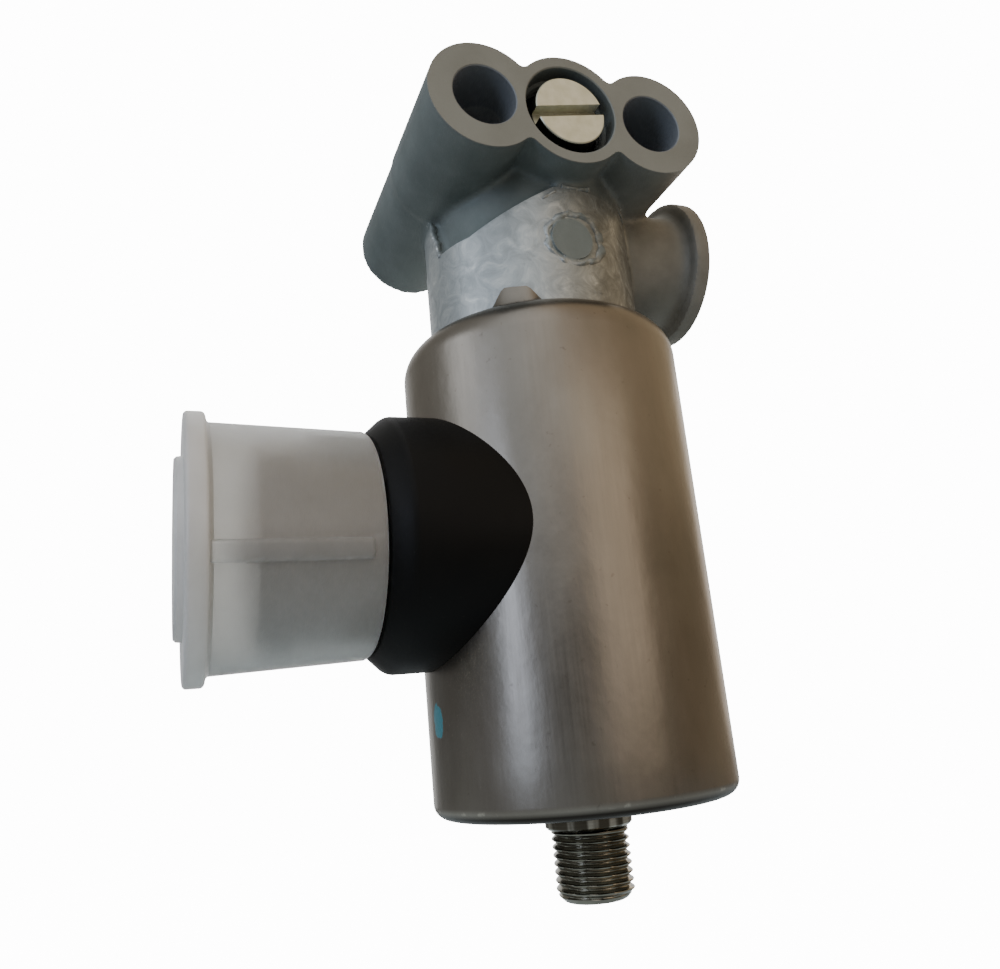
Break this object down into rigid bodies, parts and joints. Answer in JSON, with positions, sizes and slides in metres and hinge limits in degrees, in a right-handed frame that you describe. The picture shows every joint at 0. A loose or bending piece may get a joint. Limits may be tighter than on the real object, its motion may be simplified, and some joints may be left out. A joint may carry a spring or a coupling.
{
  "type": "solenoid valve",
  "caption": "Air brake solenoid valve: cast body with two bolt sleeves and side port, drawn steel can, hollow threaded stud and bayonet connector under a push-on cap.",
  "frame": {"origin": "middle of the mounting face at the back of the cast body, between the two bolt holes", "axes": "+Y out of the mounting face, +Z along the solenoid's axis towards the cast body with the threaded stud at -Z, -X towards the connector and +X towards the air port"},
  "size_m": [0.0771, 0.0418, 0.1118],
  "materials": {
    "cast_body": "die cast, matt",
    "shell": "drawn and passivated, satin",
    "core": "turned",
    "tube": "drawn stainless",
    "plates": "stamped",
    "spring": "spring wire",
    "plug": "nickel plated",
    "brass": "turned",
    "contacts": "drawn pin",
    "winding": "enamelled copper wire",
    "bobbin": "moulded",
    "connector": "moulded",
    "collar": "moulded, matt",
    "seals": "moulded",
    "cap": "milky, translucent"
  },
  "bodies": {
    "root": {"valve_body": "cast_body", "solenoid_shell": "shell", "pole_core": "core", "guide_tube": "tube", "return_spring": "spring", "bobbin": "bobbin", "coil_winding": "winding", "coil_cover": "connector", "flux_plate_lower": "plates", "flux_plate_upper": "plates", "body_oring": "seals", "tube_oring": "seals", "core_oring": "seals", "base_oring": "seals", "valve_seat": "brass", "inlet_filter": "brass", "plug_screw": "plug", "plug_oring": "seals", "connector_body": "connector", "connector_collar": "collar", "contact_pin_1": "contacts", "contact_pin_2": "contacts", "face_oring": "seals"},
    "armature": {"armature": "core", "inlet_seal": "seals", "exhaust_seal": "seals"},
    "dust_cap": {"dust_cap": "cap"}
  },
  "joints": [
    {"name": "armature_slide", "type": "slide", "parent": "root", "child": "armature", "axis": [0, 0, -1], "range_m": [0, 0.0015], "stiffness_N_per_m": 2000, "springref_m": -0.003, "deforming": ["return_spring"]},
    {"name": "cap_pull", "type": "slide", "parent": "root", "child": "dust_cap", "axis": [-1, 0, 0], "range_m": [0, 0.02]}
  ]
}
